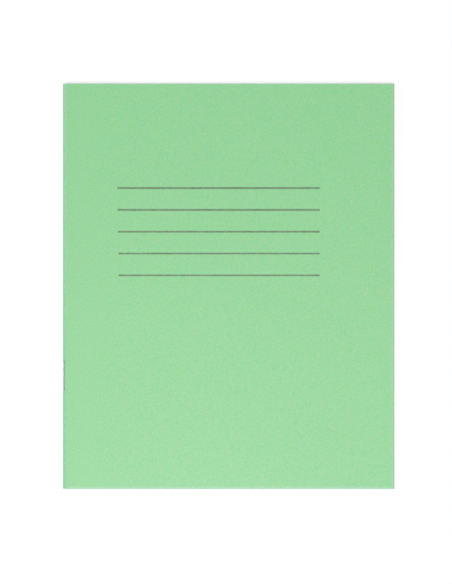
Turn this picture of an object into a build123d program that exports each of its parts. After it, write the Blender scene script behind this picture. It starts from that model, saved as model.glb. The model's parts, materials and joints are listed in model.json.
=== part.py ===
"""Stapled exercise book, closed, lying on its back cover.

Millimetres. X runs from the spine to the fore-edge, Y up the page and Z up from the table.
The origin is on the table, under the middle of the book.

Each folded sheet is made as three solids: a front leaf, a back leaf and the fold that joins them.
All folds are half rings about one line along the spine, at half the book's thickness, and every
leaf turns about that line.
"""

import os

from build123d import *

# Trimmed book
BOOK_HEIGHT = 203.0  # 8 inch format, head to tail
BOOK_WIDTH = 166.0  # from the outside of the spine to the fore-edge

# Paper and card
SHEETS = 12  # folded sheets, so 24 leaves and 48 pages
PAPER = 0.10  # thickness of the writing paper
CARD = 0.25  # thickness of the cover card
LEAF_AIR = 0.02  # air between two leaves
COVER_AIR = 0.03  # air between the cover and the outermost leaf
CENTRE_GAP = 0.62  # between the two middle leaves, where the staples' ends lie

# Wire staples
WIRE = 0.55  # wire diameter
CROWN = 14.6  # length of the bar on the outside of the spine, between the legs' middles
CLINCH = 6.2  # length of each end bent over inside the centre fold
WIRE_BEND = 0.36  # bend radius at the wire's middle line
WIRE_AIR = 0.02  # clearance around the wire
LEAF_CLEARANCE = 0.22  # between the staples' furthest reach and the start of the leaves
STAPLE_Y = (48.1, -44.8)  # middles of the upper and the lower staple
STAPLE_TILT = (-45.0, 45.0)  # degrees from the middle of the spine to their crowns, up towards the front cover

# Derived sizes
LEAVES = 2 * SHEETS
LEAF_PITCH = PAPER + LEAF_AIR  # from one leaf to the next
INNER_RADIUS = CENTRE_GAP / 2 + PAPER / 2  # innermost fold, at the middle of the paper
OUTER_RADIUS = INNER_RADIUS + LEAF_PITCH * (SHEETS - 1)  # outermost sheet
COVER_RADIUS = OUTER_RADIUS + PAPER / 2 + COVER_AIR + CARD / 2
SPINE_RADIUS = COVER_RADIUS + CARD / 2  # outside of the spine
CROWN_OFFSET = SPINE_RADIUS + WIRE_AIR + WIRE / 2  # from the fold line to the crown's middle
STAPLE_REACH = CROWN_OFFSET + WIRE / 2  # the furthest that a staple stands from the fold line
FOLD_REACH = STAPLE_REACH + LEAF_CLEARANCE  # the folds end and the leaves start here
FOLD_Z = SPINE_RADIUS  # height of the fold line above the table
FORE_EDGE = BOOK_WIDTH - SPINE_RADIUS  # from the fold line to the fore-edge
FOLD_X = (SPINE_RADIUS - FORE_EDGE) / 2  # puts the origin under the middle of the book

# Sketch plane across the spine, with its origin on the fold line
SPINE_PLANE = Plane(origin=(FOLD_X, 0, FOLD_Z), x_dir=(1, 0, 0), z_dir=(0, -1, 0))

os.makedirs("parts", exist_ok=True)


def sheet_radius(sheet: int) -> float:
    """Distance from the fold line to the middle of a sheet, where sheet 1 is the outermost."""
    return INNER_RADIUS + LEAF_PITCH * (SHEETS - sheet)


def hole_plane(tilt: float) -> Plane:
    """Plane on the fold line whose normal runs out to a staple's crown, with X along the spine."""
    return Plane(origin=(FOLD_X, 0, FOLD_Z), x_dir=(0, 1, 0), z_dir=Vector(-1, 0, 0).rotate(Axis.Y, tilt))


def wire_plane(tilt: float) -> Plane:
    """Plane that a staple's wire lies in, with X from its crown to the fold line and Y along the spine."""
    inwards = Vector(1, 0, 0).rotate(Axis.Y, tilt)
    return Plane(origin=(FOLD_X, 0, FOLD_Z), x_dir=inwards, z_dir=Vector(0, 0, 1).rotate(Axis.Y, tilt))


def make_panel(label: str, height: float, thickness: float) -> Part:
    """Flat panel from the fold's end to the fore-edge, at a height above the fold line."""
    with BuildPart() as panel:
        with BuildSketch(SPINE_PLANE):
            with Locations(((FOLD_REACH + FORE_EDGE) / 2, height)):
                Rectangle(FORE_EDGE - FOLD_REACH, thickness)
        extrude(amount=BOOK_HEIGHT / 2, both=True)
    panel.part.label = label
    return panel.part


def make_fold(label: str, radius: float, thickness: float) -> Part:
    """Half ring about the fold line with two short flats, pierced by the four staple legs."""
    inside, outside = radius - thickness / 2, radius + thickness / 2
    with BuildPart() as fold:
        with BuildSketch(SPINE_PLANE):
            with BuildLine():
                Line((FOLD_REACH, outside), (0, outside))
                ThreePointArc((0, outside), (-outside, 0), (0, -outside))
                Polyline((0, -outside), (FOLD_REACH, -outside), (FOLD_REACH, -inside), (0, -inside))
                ThreePointArc((0, -inside), (-inside, 0), (0, inside))
                Polyline((0, inside), (FOLD_REACH, inside), (FOLD_REACH, outside))
            make_face()
        extrude(amount=BOOK_HEIGHT / 2, both=True)
        for middle, tilt in zip(STAPLE_Y, STAPLE_TILT):
            with BuildSketch(hole_plane(tilt)):
                with Locations((middle + CROWN / 2, 0), (middle - CROWN / 2, 0)):
                    Circle(WIRE / 2 + WIRE_AIR)
            extrude(amount=STAPLE_REACH, mode=Mode.SUBTRACT)
    fold.part.label = label
    return fold.part


def make_staple(label: str, middle: float, tilt: float) -> Part:
    """One wire: a crown outside the spine, two legs through it and two ends bent over inside."""
    with BuildPart() as staple:
        with BuildLine(wire_plane(tilt)) as wire:
            FilletPolyline(
                (0, middle + CROWN / 2 - CLINCH),
                (0, middle + CROWN / 2),
                (-CROWN_OFFSET, middle + CROWN / 2),
                (-CROWN_OFFSET, middle - CROWN / 2),
                (0, middle - CROWN / 2),
                (0, middle - CROWN / 2 + CLINCH),
                radius=WIRE_BEND,
            )
        with BuildSketch(Plane(origin=wire.line @ 0, z_dir=wire.line % 0)):
            Circle(WIRE / 2)
        sweep(path=wire.line)
    staple.part.label = label
    return staple.part


# Cover: one folded card, as a front panel, a back panel and the fold at the spine
front_cover = make_panel("front_cover", COVER_RADIUS, CARD)
export_step(front_cover, "parts/front_cover.step")

back_cover = make_panel("back_cover", -COVER_RADIUS, CARD)
export_step(back_cover, "parts/back_cover.step")

cover_fold = make_fold("cover_fold", COVER_RADIUS, CARD)
export_step(cover_fold, "parts/cover_fold.step")

# Sheets: leaf 1 is the first page, and each sheet's back leaf counts from the other end
for sheet in range(1, SHEETS + 1):
    radius = sheet_radius(sheet)

    front_leaf = make_panel(f"leaf_{sheet:02d}", radius, PAPER)
    export_step(front_leaf, f"parts/{front_leaf.label}.step")

    back_leaf = make_panel(f"leaf_{LEAVES + 1 - sheet:02d}", -radius, PAPER)
    export_step(back_leaf, f"parts/{back_leaf.label}.step")

    sheet_fold = make_fold(f"sheet_{sheet:02d}_fold", radius, PAPER)
    export_step(sheet_fold, f"parts/{sheet_fold.label}.step")

# Staples: the upper one's crown is a little to the back of the spine, and the lower one's to the front
staple_upper = make_staple("staple_upper", STAPLE_Y[0], STAPLE_TILT[0])
export_step(staple_upper, "parts/staple_upper.step")

staple_lower = make_staple("staple_lower", STAPLE_Y[1], STAPLE_TILT[1])
export_step(staple_lower, "parts/staple_lower.step")
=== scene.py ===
"""The looks of a stapled exercise book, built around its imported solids.

Metres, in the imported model's frame: X runs from the spine to the fore-edge, Y up the page and Z up
from the table. Every sheet of card and paper goes round one fold line along the spine. A front leaf
or cover starts above that line and wraps down round the spine, and a back one starts below it.
"""

import json
import logging
import math
import random
from dataclasses import dataclass, field
from enum import Enum

import bmesh
import bpy
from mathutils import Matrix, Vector, noise


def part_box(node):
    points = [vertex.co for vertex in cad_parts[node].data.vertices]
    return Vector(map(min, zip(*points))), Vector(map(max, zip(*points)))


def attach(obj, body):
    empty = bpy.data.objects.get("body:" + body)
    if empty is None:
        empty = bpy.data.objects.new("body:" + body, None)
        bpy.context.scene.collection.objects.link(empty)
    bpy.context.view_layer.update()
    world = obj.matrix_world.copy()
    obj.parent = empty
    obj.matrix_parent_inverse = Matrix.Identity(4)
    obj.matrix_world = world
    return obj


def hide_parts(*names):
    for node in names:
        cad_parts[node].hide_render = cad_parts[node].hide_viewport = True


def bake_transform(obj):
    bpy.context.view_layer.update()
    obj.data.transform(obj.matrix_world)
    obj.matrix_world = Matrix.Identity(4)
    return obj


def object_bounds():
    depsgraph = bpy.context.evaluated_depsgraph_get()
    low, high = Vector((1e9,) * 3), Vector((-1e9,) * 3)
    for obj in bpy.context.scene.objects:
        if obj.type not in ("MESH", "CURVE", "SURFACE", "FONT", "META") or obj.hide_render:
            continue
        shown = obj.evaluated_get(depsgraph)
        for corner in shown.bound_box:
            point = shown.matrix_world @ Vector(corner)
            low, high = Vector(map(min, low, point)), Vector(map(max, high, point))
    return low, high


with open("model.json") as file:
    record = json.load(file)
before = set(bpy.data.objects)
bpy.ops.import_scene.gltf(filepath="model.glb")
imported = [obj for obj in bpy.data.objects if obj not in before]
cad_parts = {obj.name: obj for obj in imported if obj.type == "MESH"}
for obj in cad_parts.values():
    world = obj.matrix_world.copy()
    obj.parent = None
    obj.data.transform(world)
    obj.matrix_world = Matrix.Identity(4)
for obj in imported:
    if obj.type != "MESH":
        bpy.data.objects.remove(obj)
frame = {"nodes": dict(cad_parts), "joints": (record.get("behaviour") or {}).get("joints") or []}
solid_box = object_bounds()

log = logging.getLogger("exercise_book")

Colour = tuple[float, float, float]
Place = tuple[float, float, float]
Material = bpy.types.Material
Mesh = bmesh.types.BMesh
Piece = bpy.types.Object
Socket = bpy.types.NodeSocket

MM = 0.001
SHEETS = 12
LEAVES = 2 * SHEETS
WHITE = (1.0, 1.0, 1.0)

REST_PLACE = "rest_place"  # each point's place in the closed book, so that a print turns with its page
FIBRE_SCALE = (1.0, 1.2, 1.0)  # fibres are a little longer across the page than along it
NOISE_MIDDLE = 0.5  # the level that a cloudy pattern goes up and down about
AT_FOLD = 1e-6  # a point nearer than this to the fold line is on it
UNIT_GRID = 0.5  # reach of a grid that is 1 wide, from its middle
ROUND_PROFILE = 0.5  # a bevel that is a part of a circle
SMOOTH_ANGLE = math.radians(20)  # faces that meet at less than this are shaded as one
CUT_ANGLE = math.radians(60)  # faces that meet at more than this make a cut edge
OUTWARDS = 0.9  # the least that the cover's outer face looks up or down
CUT_END = 0.5  # the most that a fold's cut end looks along the spine or away from it


class Side(Enum):
    """The half of the closed book that a piece lies in, seen from the fold line."""

    FRONT = 1
    BACK = -1


def from_srgb(red: int, green: int, blue: int) -> Colour:
    """Turns a screen colour into a linear one.

    Args:
        red: red, 0 to 255.
        green: green, 0 to 255.
        blue: blue, 0 to 255.

    Returns:
        The linear colour, each part from 0 to 1.
    """
    parts = (value / 255 for value in (red, green, blue))
    return tuple(p / 12.92 if p <= 0.04045 else ((p + 0.055) / 1.055) ** 2.4 for p in parts)


def smooth_step(low: float, high: float, value: float) -> float:
    """Rises smoothly from 0 at low to 1 at high.

    Args:
        low: where the rise starts.
        high: where it ends.
        value: the place to look at.

    Returns:
        The height there, 0 to 1.
    """
    t = min(1.0, max(0.0, (value - low) / (high - low)))
    return t * t * (3 - 2 * t)


def off_line(point: Vector) -> Vector:
    """Leads to a point from the nearest place on the fold line, which runs along Y through the origin."""
    return Vector((point.x, 0.0, point.z))


# Finishes


class Bench:
    """The nodes of a material or of the world, with short ways to add some and join them."""

    def __init__(self, owner: Material | bpy.types.World, shader: str = "Principled BSDF") -> None:
        """Turns the owner's nodes on.

        Args:
            owner: the material or the world.
            shader: the name of its shader node.
        """
        owner.use_nodes = True
        self.tree = owner.node_tree
        self.shader = self.tree.nodes[shader]

    def add(self, kind: str, **settings: object) -> bpy.types.Node:
        """Adds a node.

        Args:
            kind: the node's type, without its ShaderNode prefix.
            settings: properties to set on it.

        Returns:
            The node.
        """
        node = self.tree.nodes.new("ShaderNode" + kind)
        for key, value in settings.items():
            setattr(node, key, value)
        return node

    def feed(self, socket: Socket, value: object) -> None:
        """Joins a socket to another one, or sets it to a plain value.

        Args:
            socket: the input.
            value: an output socket, a number or a colour.
        """
        if isinstance(value, Socket):
            self.tree.links.new(value, socket)
        elif isinstance(value, tuple):
            socket.default_value = (*value, 1.0) if len(socket.default_value) == 4 else value
        else:
            socket.default_value = value

    def shade(self, name: str, value: object) -> None:
        """Feeds one of the shader's own sockets."""
        self.feed(self.shader.inputs[name], value)

    def place(self) -> Socket:
        """Gives each point's place in the closed book."""
        return self.add("Attribute", attribute_name=REST_PLACE).outputs["Vector"]

    def page_axes(self) -> tuple[Socket, Socket]:
        """Gives each point's place on the page.

        Returns:
            How far it lies from the book's middle, across the page and along it.
        """
        axes = self.add("SeparateXYZ")
        self.feed(axes.inputs[0], self.place())
        return axes.outputs["X"], axes.outputs["Y"]

    def sum(self, operation: str, first: object, second: object = 0.0, clamp: bool = False) -> Socket:
        """Works out one step of arithmetic.

        Args:
            operation: the Math node's operation.
            first: its first value or socket.
            second: its second value or socket.
            clamp: whether the result is kept within 0 and 1.

        Returns:
            The result.
        """
        node = self.add("Math", operation=operation, use_clamp=clamp)
        self.feed(node.inputs[0], first)
        self.feed(node.inputs[1], second)
        return node.outputs[0]

    def scaled(self, value: object, factor: float, start: float) -> Socket:
        """Multiplies a value and adds it to a start."""
        return self.sum("ADD", self.sum("MULTIPLY", value, factor), start)

    def rise(self, value: object, low: object, high: object) -> Socket:
        """Rises smoothly from 0 to 1 as a value goes from low to high.

        Args:
            value: the value.
            low: where the rise starts.
            high: where it ends.

        Returns:
            The height, 0 to 1.
        """
        node = self.add("MapRange", interpolation_type="SMOOTHSTEP")
        for name, what in (("Value", value), ("From Min", low), ("From Max", high)):
            self.feed(node.inputs[name], what)
        return node.outputs["Result"]

    def fall(self, value: object, low: object, high: object) -> Socket:
        """Falls smoothly from 1 to 0 as a value goes from low to high."""
        return self.sum("SUBTRACT", 1.0, self.rise(value, low, high))

    def fibres(self, size: float, detail: float, layer: float = 0.0) -> Socket:
        """Makes a cloudy pattern, a little longer across the page than along it.

        Args:
            size: how large a cloud is, in metres.
            detail: how many finer layers it has.
            layer: tells patterns of the same size apart.

        Returns:
            The pattern's height, about 0.3 to 0.7.
        """
        mapping = self.add("Mapping")
        self.feed(mapping.inputs["Vector"], self.place())
        self.feed(mapping.inputs["Scale"], FIBRE_SCALE)
        node = self.add("TexNoise", noise_dimensions="4D")
        self.feed(node.inputs["Vector"], mapping.outputs["Vector"])
        self.feed(node.inputs["W"], layer)
        self.feed(node.inputs["Scale"], 1 / size)
        self.feed(node.inputs["Detail"], detail)
        return node.outputs["Fac"]

    def lay(self, share: object, under: object, over: object) -> Socket:
        """Lays one colour over another.

        Args:
            share: how much of the upper colour shows.
            under: the lower colour.
            over: the upper colour.

        Returns:
            The colour.
        """
        node = self.add("Mix", data_type="RGBA")
        self.feed(node.inputs["Factor"], share)
        self.feed(node.inputs["A"], under)
        self.feed(node.inputs["B"], over)
        return node.outputs["Result"]

    def emboss(self, height: Socket, depth: float) -> None:
        """Raises the surface a little by a pattern.

        Args:
            height: the pattern.
            depth: how far it raises the surface, in metres.
        """
        bump = self.add("Bump")
        self.feed(bump.inputs["Height"], height)
        self.feed(bump.inputs["Distance"], depth)
        self.shade("Normal", bump.outputs["Normal"])

    def seen(self) -> Socket:
        """Tells rays that show the backdrop, straight, mirrored or through a piece, from those that light the book.

        Returns:
            1 for a ray that shows it, and 0 for others.
        """
        rays = self.add("LightPath").outputs
        by_piece = self.sum("MAXIMUM", rays["Is Glossy Ray"], rays["Is Transmission Ray"])
        return self.sum("MAXIMUM", rays["Is Camera Ray"], by_piece)


@dataclass(frozen=True)
class EdgeFade:
    """How something shows near an edge: fully up to one distance, fading out to another."""

    full: float
    none: float
    share: float

    def amount(self, bench: Bench, away: Socket) -> Socket:
        """Works out how much of it shows at a distance from the edge."""
        return bench.sum("MULTIPLY", bench.fall(away, self.full, self.none), self.share)


@dataclass(frozen=True)
class Clouds:
    """A cloudy pattern, and the levels where its colour starts and where it is full."""

    size: float
    detail: float
    low: float
    high: float
    layer: float = 0.0

    def share(self, bench: Bench) -> Socket:
        """Gives how much of the clouds' colour shows."""
        return bench.rise(bench.fibres(self.size, self.detail, self.layer), self.low, self.high)


@dataclass(frozen=True)
class Unevenness:
    """A cloudy pattern that goes about as far up as down."""

    size: float
    detail: float
    span: float
    layer: float = 0.0

    def amount(self, bench: Bench) -> Socket:
        """Gives how far it goes up or down."""
        level = bench.sum("SUBTRACT", bench.fibres(self.size, self.detail, self.layer), NOISE_MIDDLE)
        return bench.sum("MULTIPLY", level, self.span)


@dataclass(frozen=True)
class Tooth:
    """The fine relief of card or paper, which also breaks up its gloss."""

    size: float
    depth: float
    specular: float
    smoothest: float
    roughness_spread: float
    detail: float = 3.0

    def apply(self, bench: Bench) -> None:
        """Gives a material its gloss and its relief.

        Args:
            bench: the material's nodes.
        """
        bench.shade("Specular IOR Level", self.specular)
        tooth = bench.fibres(self.size, self.detail)
        bench.shade("Roughness", bench.scaled(tooth, self.roughness_spread, self.smoothest))
        bench.emboss(tooth, self.depth)


@dataclass(frozen=True)
class CardFinish:
    """Light green cover card, felted and faintly cloudy. Its edges are painted paler, partly as rubbed wear and
    partly as painted highlight, and a line of painted shade runs along the fore-edge.
    """

    green: Colour = from_srgb(129, 210, 136)
    warm: Colour = from_srgb(154, 210, 147)
    cool: Colour = from_srgb(139, 212, 163)
    # the pale bluish colour of the card's edges: partly rubbed wear, partly painted highlight where the edges catch
    # the light
    rubbed_and_highlit: Colour = from_srgb(188, 217, 210)
    # painted shade: the grey of a thin line along the fore-edge, where the edge lies in shade
    painted_edge_shade: Colour = from_srgb(152, 180, 150)
    warm_clouds: Clouds = Clouds(size=1.0 * MM, detail=2.0, low=0.28, high=0.72)
    cool_clouds: Clouds = Clouds(size=1.2 * MM, detail=2.0, low=0.3, high=0.7, layer=7.0)
    cool_share: float = 0.5
    # the four edge fades paint the card paler towards its edges: partly rubbed wear, partly painted highlight
    spine_wear_and_highlight: EdgeFade = EdgeFade(full=0.8 * MM, none=2.7 * MM, share=0.32)
    fore_edge_wear_and_highlight: EdgeFade = EdgeFade(full=0.0, none=2.5 * MM, share=0.16)
    head_wear_and_highlight: EdgeFade = EdgeFade(full=0.0, none=1.6 * MM, share=0.15)
    tail_wear_and_highlight: EdgeFade = EdgeFade(full=0.3 * MM, none=1.7 * MM, share=0.38)
    worn_patches: Clouds = Clouds(size=1.4 * MM, detail=3.0, low=0.3, high=0.7, layer=3.0)
    least_worn: float = 0.5
    # paints a thin line of shade along the fore-edge
    fore_edge_painted_shade: EdgeFade = EdgeFade(full=0.25 * MM, none=0.55 * MM, share=0.85)
    felt: Tooth = Tooth(size=0.3 * MM, depth=0.02 * MM, specular=0.4, smoothest=0.32, roughness_spread=0.16)

    def colour(self, bench: Bench, half_width: float, half_height: float) -> Socket:
        """Mixes the card's colour.

        Args:
            bench: the material's nodes.
            half_width: from the middle of the book to the fore-edge.
            half_height: from its middle to the head.

        Returns:
            The colour.
        """
        cool = bench.sum("MULTIPLY", self.cool_clouds.share(bench), self.cool_share)
        body = bench.lay(cool, bench.lay(self.warm_clouds.share(bench), self.green, self.warm), self.cool)
        x, y = bench.page_axes()
        to_fore_edge = bench.sum("SUBTRACT", half_width, x)
        spine = self.spine_wear_and_highlight.amount(bench, bench.sum("ADD", x, half_width))
        fore_edge = self.fore_edge_wear_and_highlight.amount(bench, to_fore_edge)
        head = self.head_wear_and_highlight.amount(bench, bench.sum("SUBTRACT", half_height, y))
        tail = self.tail_wear_and_highlight.amount(bench, bench.sum("ADD", y, half_height))
        # paler towards every edge: partly rubbed wear, partly painted highlight
        wear_and_highlight = bench.sum("MAXIMUM", bench.sum("MAXIMUM", spine, fore_edge), bench.sum("MAXIMUM", head, tail))
        patches = bench.sum("ADD", self.worn_patches.share(bench), self.least_worn)
        worn_and_highlit = bench.lay(bench.sum("MULTIPLY", wear_and_highlight, patches), body, self.rubbed_and_highlit)
        # lays the painted shade line along the fore-edge
        return bench.lay(self.fore_edge_painted_shade.amount(bench, to_fore_edge), worn_and_highlit, self.painted_edge_shade)

    def make(self, name: str, half_width: float, half_height: float) -> Material:
        """Makes the card.

        Args:
            name: the material's name.
            half_width: from the middle of the book to the fore-edge.
            half_height: from its middle to the head.

        Returns:
            The material.
        """
        material = bpy.data.materials.new(name)
        bench = Bench(material)
        bench.shade("Base Color", self.colour(bench, half_width, half_height))
        self.felt.apply(bench)
        return material


@dataclass(frozen=True)
class PrintedCardFinish(CardFinish):
    """The card with five ruled writing lines printed on it, of which the lower ones are a little thinner."""

    ink: Colour = from_srgb(88, 107, 80)
    lines: int = 5
    top_line: float = 49.2 * MM
    line_pitch: float = 10.93 * MM
    line_start: float = -55.4 * MM
    start_drift: float = 0.16 * MM
    line_end: float = 45.55 * MM
    line_weight: float = 0.93 * MM
    weight_drift: float = -0.04 * MM
    feather: float = 0.09 * MM
    ragged_edge: Unevenness = Unevenness(size=0.5 * MM, detail=2.0, span=0.35 * MM)
    speckle: Clouds = Clouds(size=0.35 * MM, detail=2.0, low=0.3, high=0.6)
    speckle_share: float = 0.25
    least_ink: float = 0.64
    uneven_ink: Unevenness = Unevenness(size=2.5 * MM, detail=3.0, span=0.5, layer=5.0)
    heavy_end: EdgeFade = EdgeFade(full=0.3 * MM, none=0.9 * MM, share=0.2)

    def ink_share(self, bench: Bench) -> Socket:
        """Marks where the lines are.

        Args:
            bench: the material's nodes.

        Returns:
            How much ink lies on each point, 0 to 1.
        """
        x, y = bench.page_axes()
        down = bench.sum("DIVIDE", bench.sum("SUBTRACT", self.top_line, y), self.line_pitch)
        nearest = bench.sum("MINIMUM", bench.sum("MAXIMUM", bench.sum("ROUND", down), 0.0), self.lines - 1.0)
        pitches_off = bench.sum("ABSOLUTE", bench.sum("SUBTRACT", down, nearest))
        from_line = bench.sum("MULTIPLY", pitches_off, self.line_pitch)
        from_middle = bench.sum("SUBTRACT", nearest, (self.lines - 1) / 2)
        thinner = bench.sum("MULTIPLY", from_middle, self.weight_drift / 2)
        edge = bench.sum("ADD", bench.sum("ADD", self.ragged_edge.amount(bench), thinner), self.line_weight / 2)
        inked, bare = (bench.sum(step, edge, self.feather) for step in ("SUBTRACT", "ADD"))
        across = bench.fall(from_line, inked, bare)
        drift = bench.sum("MULTIPLY", from_middle, self.start_drift)
        from_start = bench.sum("SUBTRACT", bench.sum("SUBTRACT", x, self.line_start), drift)
        from_end = bench.sum("SUBTRACT", self.line_end, x)
        along = bench.rise(bench.sum("MINIMUM", from_start, from_end), -self.feather, self.feather)
        speckled = bench.scaled(self.speckle.share(bench), self.speckle_share, self.least_ink)
        uneven = bench.sum("ADD", self.uneven_ink.amount(bench), self.heavy_end.amount(bench, from_end))
        density = bench.sum("ADD", speckled, uneven)
        return bench.sum("MULTIPLY", bench.sum("MULTIPLY", across, along), density, clamp=True)

    def colour(self, bench: Bench, half_width: float, half_height: float) -> Socket:
        """Mixes the card's colour and lays the ink over it.

        Args:
            bench: the material's nodes.
            half_width: from the middle of the book to the fore-edge.
            half_height: from its middle to the head.

        Returns:
            The colour.
        """
        card = super().colour(bench, half_width, half_height)
        return bench.lay(self.ink_share(bench), card, self.ink)


@dataclass(frozen=True)
class PaperFinish:
    """Plain white writing paper, uncoated, with fine fibres and edges a little greyer from handling."""

    white: Colour = from_srgb(243, 243, 240)
    shaded: Colour = from_srgb(237, 237, 233)
    handled: Colour = from_srgb(222, 220, 212)
    shaded_clouds: Clouds = Clouds(size=0.9 * MM, detail=2.0, low=0.28, high=0.72)
    handled_edge: EdgeFade = EdgeFade(full=0.0, none=2.0 * MM, share=0.3)
    handled_patches: Clouds = Clouds(size=6.0 * MM, detail=3.0, low=0.42, high=0.66)
    tooth: Tooth = Tooth(size=0.25 * MM, depth=0.01 * MM, specular=0.25, smoothest=0.75, roughness_spread=0.2)

    def make(self, name: str, half_width: float, half_height: float) -> Material:
        """Makes the paper.

        Args:
            name: the material's name.
            half_width: from the middle of the book to the fore-edge.
            half_height: from its middle to the head.

        Returns:
            The material.
        """
        material = bpy.data.materials.new(name)
        bench = Bench(material)
        body = bench.lay(self.shaded_clouds.share(bench), self.white, self.shaded)
        x, y = bench.page_axes()
        from_side = bench.sum("SUBTRACT", half_width, x)
        from_end = bench.sum("SUBTRACT", half_height, bench.sum("ABSOLUTE", y))
        near_edge = self.handled_edge.amount(bench, bench.sum("MINIMUM", from_side, from_end))
        greyed = bench.sum("MULTIPLY", near_edge, self.handled_patches.share(bench))
        bench.shade("Base Color", bench.lay(greyed, body, self.handled))
        self.tooth.apply(bench)
        return material


@dataclass(frozen=True)
class WireFinish:
    """Galvanised stapling wire, drawn lengthwise, with small dull spots."""

    zinc: Colour = from_srgb(170, 171, 172)
    dull: Colour = from_srgb(154, 154, 153)
    smoothest: float = 0.4
    dull_roughness: float = 0.2
    spot_size: float = 0.9 * MM
    spot_start: float = 0.5
    spot_full: float = 0.68
    drawn_size: float = 0.08 * MM
    drawn_scale: tuple[float, float, float] = (1.0, 0.08, 1.0)
    drawn_depth: float = 0.004 * MM

    def make(self, name: str) -> Material:
        """Makes the wire's metal, on the staple's own coordinates.

        Args:
            name: the material's name.

        Returns:
            The material.
        """
        material = bpy.data.materials.new(name)
        bench = Bench(material)
        place = bench.add("TexCoord").outputs["Object"]
        mapping = bench.add("Mapping")
        bench.feed(mapping.inputs["Vector"], place)
        bench.feed(mapping.inputs["Scale"], self.drawn_scale)
        drawn, spots = bench.add("TexNoise"), bench.add("TexNoise")
        bench.feed(drawn.inputs["Vector"], mapping.outputs["Vector"])
        bench.feed(drawn.inputs["Scale"], 1 / self.drawn_size)
        bench.feed(spots.inputs["Vector"], place)
        bench.feed(spots.inputs["Scale"], 1 / self.spot_size)
        dulled = bench.rise(spots.outputs["Fac"], self.spot_start, self.spot_full)
        bench.shade("Base Color", bench.lay(dulled, self.zinc, self.dull))
        bench.shade("Metallic", 1.0)
        bench.shade("Roughness", bench.scaled(dulled, self.dull_roughness, self.smoothest))
        bench.emboss(drawn.outputs["Fac"], self.drawn_depth)
        return material


# The book


@dataclass(frozen=True)
class FoldLine:
    """The line along the spine that every sheet is folded round."""

    x: float
    z: float

    @property
    def middle(self) -> Vector:
        """Gives the point on the line at the middle of the book's height."""
        return Vector((self.x, 0.0, self.z))

    def point(self, radius: float, wrap: float, side: Side) -> Vector:
        """Finds a point on a fold, at the middle of the book's height.

        Args:
            radius: its distance from the fold line.
            wrap: degrees round the spine from the flat page.
            side: the half of the book that the wrap starts in.

        Returns:
            The point.
        """
        turn = math.radians(wrap)
        return Vector((self.x - radius * math.sin(turn), 0.0, self.z + side.value * radius * math.cos(turn)))


@dataclass
class Pile:
    """How the closed book's leaves lie on each other, from the back cover up.

    The folds hold the leaves apart at the spine, and towards the fore-edge each lies on the one below,
    a little loosely, in waves that differ from leaf to leaf.
    """

    names: list[str]
    held: float = 4 * MM
    settled: float = 32 * MM
    close: float = 0.004 * MM
    lift: float = 0.055 * MM
    lift_level: float = 0.35
    waves_across: float = 14.0
    waves_along: float = 11.0
    waves_apart: float = 5.3
    gaps: list[float] = field(init=False)

    def __post_init__(self) -> None:
        """Reads the gap under each piece from the solids."""
        boxes = [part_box(name) for name in self.names]
        self.gaps = [0.0] + [above[0].z - below[1].z for below, above in zip(boxes, boxes[1:])]

    def drop(self, name: str, x: float, y: float) -> float:
        """Says how far a piece has settled at one place.

        Args:
            name: the piece.
            x: distance from the fold line towards the fore-edge.
            y: place along the page.

        Returns:
            The drop below the solid's height.
        """
        share = smooth_step(self.held, self.settled, x)
        total = 0.0
        for count in range(1, self.names.index(name) + 1):
            wave = noise.noise(Vector((x * self.waves_across, y * self.waves_along, count * self.waves_apart)))
            loose = self.close + self.lift * max(0.0, self.lift_level + wave)
            total += (self.gaps[count] - loose) * share
        return total


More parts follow.
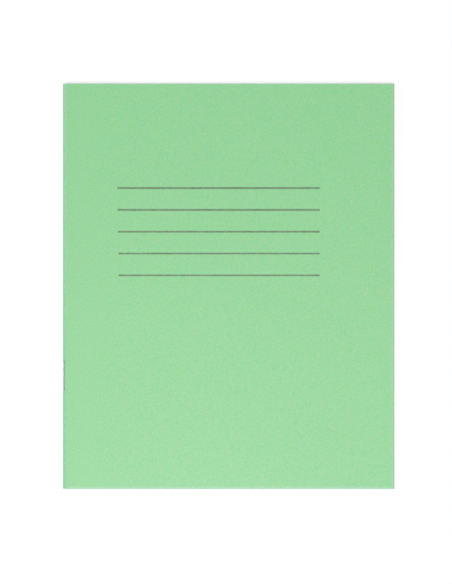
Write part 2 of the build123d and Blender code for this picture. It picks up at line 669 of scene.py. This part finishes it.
@dataclass
class BentSheet:
    """A rectangle of card or paper that lies in the book and goes on round part of the spine.

    The wrap draws in and skews a little towards its end, so that no faces meet where a turned sheet
    doubles over. It is also a little shorter at the head and the tail, where a fold pulls the sheet in.
    """

    name: str
    side: Side
    fold: FoldLine
    pile: Pile
    wrap: float
    columns: int
    rows: int
    wrap_steps: int = 16
    short: float = 0.0
    slip: float = 0.0
    lap: float = 0.004 * MM
    draw_in: float = 0.006 * MM
    skew: float = 0.02 * MM
    pull_in: float = 0.12 * MM
    pulled_by: float = 30.0
    radius: float = field(init=False)
    thickness: float = field(init=False)
    width: float = field(init=False)
    height: float = field(init=False)
    piece: Piece = field(init=False)

    def __post_init__(self) -> None:
        """Reads the sheet's sizes from its solid."""
        low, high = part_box(self.name)
        self.thickness = high.z - low.z
        self.radius = abs((low.z + high.z) / 2 - self.fold.z)
        self.width = high.x - self.fold.x - self.short
        self.height = high.y - low.y

    @property
    def outside(self) -> float:
        """Gives the distance from the fold line to the sheet's outer face, where the front laps over the back."""
        return self.radius + self.thickness / 2 + (self.lap if self.side is Side.FRONT else 0.0)

    @property
    def spine_height(self) -> float:
        """Gives the sheet's height where it goes round the spine."""
        return self.height - 2 * self.pull_in

    def outer_face(self) -> Mesh:
        """Makes the sheet's outer face, flat from the fold line to the fore-edge and then round the spine.

        Returns:
            The face, with the fold line at its origin.
        """
        bm = bmesh.new()
        bmesh.ops.create_grid(bm, x_segments=self.columns, y_segments=self.rows, size=UNIT_GRID)
        bmesh.ops.scale(bm, verts=bm.verts, vec=(self.width, self.height, 1.0))
        bmesh.ops.translate(bm, verts=bm.verts, vec=(self.width / 2, self.slip, self.side.value * self.outside))
        if self.wrap:
            self.go_round_spine(bm)
        bmesh.ops.recalc_face_normals(bm, faces=bm.faces)
        bm.normal_update()
        if bm.faces[0].normal.z * self.side.value < 0:
            bmesh.ops.reverse_faces(bm, faces=bm.faces)
        return bm

    def go_round_spine(self, bm: Mesh) -> None:
        """Carries the flat face on round the spine, and pulls it in there at the head and the tail.

        Args:
            bm: the flat face, with the fold line at its origin.
        """
        row = [edge for edge in bm.edges if all(vert.co.x < AT_FOLD for vert in edge.verts)]
        bmesh.ops.spin(
            bm,
            geom=row,
            cent=(self.draw_in, 0.0, 0.0),
            axis=(0.0, -self.side.value, 0.0),
            dvec=(0.0, self.skew / self.wrap_steps, 0.0),
            angle=math.radians(self.wrap),
            steps=self.wrap_steps,
        )
        for vert in bm.verts:
            if vert.co.x < 0:
                turned = math.degrees(math.atan2(-vert.co.x, self.side.value * vert.co.z))
                pulled = smooth_step(0.0, self.pulled_by, turned)
                vert.co.y *= 1 + (self.spine_height / self.height - 1) * pulled

    def settle(self, bm: Mesh) -> None:
        """Lets the flat part lie on the leaves below it.

        Args:
            bm: the sheet's outer face.
        """
        for vert in bm.verts:
            if vert.co.x > 0:
                vert.co.z -= self.pile.drop(self.name, vert.co.x, vert.co.y)

    def thicken(self, bm: Mesh) -> None:
        """Gives the sheet its thickness, inwards from its outer face, and puts it in the book.

        Args:
            bm: the sheet's outer face.
        """
        bm.normal_update()
        bmesh.ops.solidify(bm, geom=bm.faces[:], thickness=self.thickness)
        bmesh.ops.translate(bm, verts=bm.verts, vec=self.fold.middle)

    def hinge_to(self, child: str, parent: str) -> None:
        """Bakes the sheet's placement into its mesh; it does not bend the wrapped part.

        Args:
            child: the body that turns. Not used.
            parent: the body that it turns on. Not used.
        """
        flat, end = (self.fold.point(self.radius, wrap, self.side) for wrap in (0.0, self.wrap))
        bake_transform(self.piece)


def finish_sheet(name: str, bm: Mesh, materials: list[Material]) -> Piece:
    """Turns a finished sheet into an object, shaded smooth up to its cut edges.

    Args:
        name: the object's name.
        bm: the sheet, in place. It is freed.
        materials: the materials of its faces.

    Returns:
        The object.
    """
    bm.normal_update()
    for face in bm.faces:
        face.smooth = True
    for edge in bm.edges:
        edge.smooth = edge.calc_face_angle(0.0) < SMOOTH_ANGLE
    place = bm.verts.layers.float_vector.new(REST_PLACE)
    for vert in bm.verts:
        vert[place] = vert.co
    mesh = bpy.data.meshes.new(name)
    bm.to_mesh(mesh)
    bm.free()
    for material in materials:
        mesh.materials.append(material)
    piece = bpy.data.objects.new(name, mesh)
    bpy.context.scene.collection.objects.link(piece)
    return piece


@dataclass
class Leaf(BentSheet):
    """One leaf of writing paper with its share of the fold."""

    def build(self, paper: Material) -> Piece:
        """Makes the leaf and dresses it.

        Args:
            paper: the paper's material.

        Returns:
            The leaf.
        """
        bm = self.outer_face()
        self.settle(bm)
        self.thicken(bm)
        self.piece = finish_sheet(f"page_{self.name}", bm, [paper])
        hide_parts(self.name)
        return self.piece


@dataclass
class CoverPanel(BentSheet):
    """The front or the back of the card cover with its share of the spine."""

    staple_legs: tuple[float, ...] = ()
    dent_depth: float = 0.16 * MM
    dent_reach: float = 1.1 * MM
    dent_end: float = 3.3 * MM
    dent_wrap: float = 45.0
    softened: float = 0.045 * MM
    softened_steps: int = 2

    def press_dents(self, bm: Mesh) -> None:
        """Presses in the card where a staple's legs go through it.

        Args:
            bm: the cover's outer face, with the fold line at its origin.
        """
        middle = self.fold.point(self.outside, self.dent_wrap, self.side) - self.fold.middle
        for vert in bm.verts:
            for y in self.staple_legs:
                away = (vert.co - Vector((middle.x, y, middle.z))).length
                if away < self.dent_end:
                    depth = self.dent_depth * math.exp(-((away / self.dent_reach) ** 2))
                    vert.co -= off_line(vert.co).normalized() * depth

    def soften_edges(self, bm: Mesh) -> None:
        """Rounds the card's cut edges a little, from the fold line to the fore-edge.

        Args:
            bm: the cover, with its thickness.
        """
        bm.normal_update()
        flat_from = self.fold.x - AT_FOLD
        cut = [
            edge
            for edge in bm.edges
            if edge.calc_face_angle(0.0) > CUT_ANGLE and all(vert.co.x > flat_from for vert in edge.verts)
        ]
        bmesh.ops.bevel(
            bm,
            geom=cut,
            offset=self.softened,
            offset_type="OFFSET",
            affect="EDGES",
            segments=self.softened_steps,
            profile=ROUND_PROFILE,
            material=-1,
            clamp_overlap=True,
        )

    def build(self, card: Material, printed: Material | None = None) -> Piece:
        """Makes the cover and dresses it.

        Args:
            card: the plain card's material.
            printed: the material of its outer face, where something is printed on it.

        Returns:
            The cover.
        """
        bm = self.outer_face()
        self.settle(bm)
        self.press_dents(bm)
        self.thicken(bm)
        self.soften_edges(bm)
        if printed:
            bm.normal_update()
            for face in bm.faces:
                outer = face.normal.z * self.side.value > OUTWARDS and face.calc_center_median().x > self.fold.x
                face.material_index = int(outer)
        self.piece = finish_sheet(f"card_{self.name}", bm, [card, printed] if printed else [card])
        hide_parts(self.name)
        return self.piece


@dataclass
class SpineFold:
    """The middle of a sheet's fold, between its two leaves' shares."""

    name: str
    fold: FoldLine
    radius: float
    thickness: float
    height: float
    wrap: float
    rows: int
    steps: int = 20
    tuck: float = 0.008 * MM
    skew: float = 0.02 * MM
    piece: Piece = field(init=False)

    def outer_face(self) -> Mesh:
        """Spins the fold's outer face round the spine.

        Returns:
            The face, with the fold line at its origin.
        """
        outside = self.radius + self.thickness / 2 - self.tuck
        start = self.fold.point(outside, self.wrap, Side.FRONT) - self.fold.middle
        bm = bmesh.new()
        ends = [bm.verts.new(start + Vector((0.0, side * self.height / 2, 0.0))) for side in (-1, 1)]
        row = bm.edges.new(ends)
        bmesh.ops.subdivide_edges(bm, edges=[row], cuts=self.rows - 1)
        bmesh.ops.spin(
            bm,
            geom=bm.edges[:],
            cent=(0.0, 0.0, 0.0),
            axis=(0.0, -1.0, 0.0),
            dvec=(0.0, self.skew / self.steps, 0.0),
            angle=math.radians(180 - 2 * self.wrap),
            steps=self.steps,
        )
        bmesh.ops.recalc_face_normals(bm, faces=bm.faces)
        bm.normal_update()
        first = next(iter(bm.faces))
        if first.normal.dot(off_line(first.calc_center_median())) < 0:
            bmesh.ops.reverse_faces(bm, faces=bm.faces)
        return bm

    def build(self, slot: str, stock: Material, core: Material | None = None) -> Piece:
        """Makes the fold and dresses it.

        Args:
            slot: the record's slot for its material. Not used.
            stock: the material of its card or paper.
            core: the material of its two cut ends, which show beside the page where the book is open, if it differs.

        Returns:
            The fold.
        """
        bm = self.outer_face()
        bmesh.ops.solidify(bm, geom=bm.faces[:], thickness=self.thickness)
        if core:
            bm.normal_update()
            for face in bm.faces:
                outwards = off_line(face.calc_center_median()).normalized()
                cut_end = abs(face.normal.y) < CUT_END and abs(face.normal.dot(outwards)) < CUT_END
                face.material_index = int(cut_end)
        bmesh.ops.translate(bm, verts=bm.verts, vec=self.fold.middle)
        self.piece = finish_sheet(f"bend_{self.name}", bm, [stock, core] if core else [stock])
        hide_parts(self.name)
        top, bottom = (self.fold.point(self.radius, self.wrap, side) for side in Side)
        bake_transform(self.piece)
        return self.piece


@dataclass
class Staple:
    """One wire staple, which keeps its solid's shape."""

    name: str

    def dress(self, wire: Material) -> Piece:
        """Gives the staple its metal.

        Args:
            wire: the wire's material.

        Returns:
            The staple.
        """
        piece = frame["nodes"][self.name]
        for slot in piece.material_slots:
            slot.material = wire
        return piece


@dataclass
class ExerciseBook:
    """The whole book: card cover, twelve folded sheets and two staples."""

    tucked: float = 0.05 * MM
    cover_slip: float = 0.02 * MM
    cover_columns: int = 48
    cover_rows: int = 203
    spine_rows: int = 60
    page_margin: float = 0.03 * MM
    page_columns: int = 40
    page_rows: int = 30
    trim_spread: float = 0.12 * MM
    slip_spread: float = 0.08 * MM
    seed: int = 48
    fold: FoldLine = field(init=False)
    pile: Pile = field(init=False)

    def __post_init__(self) -> None:
        """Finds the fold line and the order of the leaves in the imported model."""
        hinge = frame["joints"][0]["pos_m"]
        self.fold = FoldLine(hinge[0], hinge[2])
        leaves = [f"leaf_{count:02d}" for count in range(LEAVES, 0, -1)]
        self.pile = Pile(["back_cover", *leaves, "front_cover"])

    def build(self) -> list[Piece]:
        """Makes every piece of the book, from the cover to the staples.

        Returns:
            The pieces.
        """
        corner = solid_box[1]
        half = (corner.x, corner.y)
        card = CardFinish().make("green_card", *half)
        printed = PrintedCardFinish().make("green_card_ruled", *half)
        paper = PaperFinish().make("writing_paper", *half)
        pieces = self.cover(card, printed, paper) + self.sheets(paper)
        wire = WireFinish().make("galvanised_wire")
        return pieces + [Staple(name).dress(wire) for name in ("staple_upper", "staple_lower")]

    def wrap(self, name: str) -> float:
        """Says how far a sheet goes on round the spine, so that it ends under the pages when the book lies open.

        Args:
            name: the sheet's front leaf or cover.

        Returns:
            The wrap in degrees, none for the middle sheet.
        """
        page, inside = (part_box(piece)[0].z - self.fold.z for piece in (f"leaf_{SHEETS:02d}", name))
        return math.degrees(math.acos(min(1.0, (page + self.tucked) / inside)))

    def cover(self, card: Material, printed: Material, paper: Material) -> list[Piece]:
        """Makes the folded card cover.

        Args:
            card: the plain card.
            printed: the card with the ruled lines.
            paper: the pages' paper.

        Returns:
            The front, the back and the spine.
        """
        shared = {
            "fold": self.fold,
            "pile": self.pile,
            "wrap": self.wrap("front_cover"),
            "columns": self.cover_columns,
            "rows": self.cover_rows,
        }
        lower, upper = (tuple(corner.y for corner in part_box(name)) for name in ("staple_lower", "staple_upper"))
        front = CoverPanel("front_cover", Side.FRONT, short=self.page_margin, staple_legs=lower, **shared)
        back = CoverPanel("back_cover", Side.BACK, slip=self.cover_slip, staple_legs=upper, **shared)
        front.build(card, printed)
        back.build(card)
        front.hinge_to("front_cover", "leaf_01")
        back.hinge_to(f"leaf_{LEAVES:02d}", "back_cover")
        spine = SpineFold(
            "cover_fold",
            self.fold,
            radius=front.radius,
            thickness=front.thickness,
            height=front.spine_height - self.cover_slip,
            wrap=front.wrap,
            rows=self.spine_rows,
        )
        return [front.piece, back.piece, spine.build("cover_card", card, paper)]

    def sheets(self, paper: Material) -> list[Piece]:
        """Makes the folded sheets, from the outermost to the middle one.

        Args:
            paper: the paper.

        Returns:
            Each sheet's two leaves and the fold between them.
        """
        chance = random.Random(self.seed)
        pieces = []
        for sheet in range(1, SHEETS + 1):
            wrap = self.wrap(f"leaf_{sheet:02d}")
            for count, side in ((sheet, Side.FRONT), (LEAVES + 1 - sheet, Side.BACK)):
                leaf = Leaf(
                    f"leaf_{count:02d}",
                    side,
                    self.fold,
                    self.pile,
                    wrap=wrap,
                    columns=self.page_columns,
                    rows=self.page_rows,
                    short=chance.uniform(0.0, self.trim_spread),
                    slip=chance.uniform(-self.slip_spread, self.slip_spread),
                )
                pieces.append(leaf.build(paper))
                if not wrap:
                    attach(leaf.piece, leaf.name)
                elif side is Side.FRONT:
                    leaf.hinge_to(leaf.name, f"leaf_{count + 1:02d}")
                else:
                    leaf.hinge_to(f"leaf_{count - 1:02d}", leaf.name)
            bend = SpineFold(
                f"sheet_{sheet:02d}_fold",
                self.fold,
                radius=leaf.radius,
                thickness=leaf.thickness,
                height=leaf.spine_height,
                wrap=wrap,
                rows=self.page_rows,
            )
            pieces.append(bend.build("paper", paper))
        return pieces


# The studio


@dataclass
class Studio:
    """A pale floor, soft light from above and a camera straight over the book."""

    picture: tuple[int, int] = (452, 584)
    scale: float = 0.5006 * MM
    middle: tuple[float, float] = (228.6, 286.3)
    lens: float = 200.0
    sensor: float = 36.0
    sky: float = 0.39
    key_power: float = 21.0
    key_size: float = 0.7
    key_place: Place = (-0.05, -0.48, 2.0)
    fill_power: float = 3.0
    fill_size: float = 1.0
    fill_place: Place = (-1.3, -0.1, 0.9)
    floor_reach: float = 4.0
    floor_cells: int = 8
    floor_gap: float = 0.02 * MM
    floor_tone: float = 0.4
    bounce_tone: float = 0.85
    glow_near: float = 0.645
    glow_far: float = 0.86
    near: float = 0.2
    far: float = 1.4

    def lay_floor(self) -> None:
        """Lays a matt white floor under the book, which keeps its shadow near it and fades to white far off."""
        bm = bmesh.new()
        bmesh.ops.create_grid(bm, x_segments=self.floor_cells, y_segments=self.floor_cells, size=self.floor_reach)
        bmesh.ops.translate(bm, verts=bm.verts, vec=(0.0, 0.0, -self.floor_gap))
        mesh = bpy.data.meshes.new("floor")
        bm.to_mesh(mesh)
        bm.free()
        mesh.materials.append(self.floor_paint())
        floor = bpy.data.objects.new("floor", mesh)
        bpy.context.scene.collection.objects.link(floor)

    def floor_paint(self) -> Material:
        """Makes the floor's matt white, which glows a little where it is seen and sends light back to the book.

        Returns:
            The material.
        """
        material = bpy.data.materials.new("floor_white")
        bench = Bench(material)
        seen = bench.seen()
        away = bench.add("VectorMath", operation="LENGTH")
        bench.feed(away.inputs[0], bench.add("TexCoord").outputs["Object"])
        distance = bench.rise(away.outputs["Value"], self.near, self.far)
        glow = bench.scaled(distance, self.glow_far - self.glow_near, self.glow_near)
        bench.shade("Emission Strength", bench.sum("MULTIPLY", seen, glow))
        bench.shade("Emission Color", WHITE)
        bench.shade("Base Color", bench.lay(seen, (self.bounce_tone,) * 3, (self.floor_tone,) * 3))
        bench.shade("Roughness", 1.0)
        bench.shade("Specular IOR Level", 0.0)
        return material

    def light(self) -> None:
        """Lights the book with two soft lamps in a white room."""
        world = bpy.data.worlds.new("white_room")
        bpy.context.scene.world = world
        bench = Bench(world, "Background")
        strength = bench.add("MapRange")
        bench.feed(strength.inputs["Value"], bench.seen())
        bench.feed(strength.inputs["To Min"], self.sky)
        bench.shade("Color", WHITE)
        bench.shade("Strength", strength.outputs["Result"])
        self.hang_lamp("key_lamp", self.key_place, self.key_size, self.key_power)
        self.hang_lamp("fill_lamp", self.fill_place, self.fill_size, self.fill_power)

    def hang_lamp(self, name: str, place: Place, size: float, power: float) -> None:
        """Hangs one round soft lamp that faces the book.

        Args:
            name: the lamp's name.
            place: where it hangs.
            size: its diameter.
            power: its power in watts.
        """
        lamp = bpy.data.lights.new(name, "AREA")
        lamp.shape, lamp.size, lamp.energy = "DISK", size, power
        hung = bpy.data.objects.new(name, lamp)
        hung.location = Vector(place)
        hung.rotation_euler = (-hung.location).to_track_quat("-Z", "Y").to_euler()
        bpy.context.scene.collection.objects.link(hung)

    def aim_camera(self, top: float) -> None:
        """Puts the camera over the book, as far up as the picture's scale asks.

        Args:
            top: height of the front cover.
        """
        data = bpy.data.cameras.new("camera")
        data.lens, data.sensor_width, data.sensor_fit = self.lens, self.sensor, "AUTO"
        camera = bpy.data.objects.new("camera", data)
        wide, tall = self.picture
        across = (wide / 2 - self.middle[0]) * self.scale
        along = (self.middle[1] - tall / 2) * self.scale
        camera.location = (across, along, top + tall * self.scale * self.lens / self.sensor)
        bpy.context.scene.collection.objects.link(camera)
        bpy.context.scene.camera = camera
        bpy.context.scene.view_settings.view_transform = "Standard"


def main() -> None:
    """Builds the studio and the book."""
    logging.basicConfig(level=logging.INFO, format="%(name)s: %(message)s")
    studio = Studio()
    studio.aim_camera(solid_box[1].z)
    studio.light()
    studio.lay_floor()
    for piece in ExerciseBook().build():
        log.info("%s: %d faces", piece.name, len(piece.data.polygons))


if __name__ == "__main__":
    main()
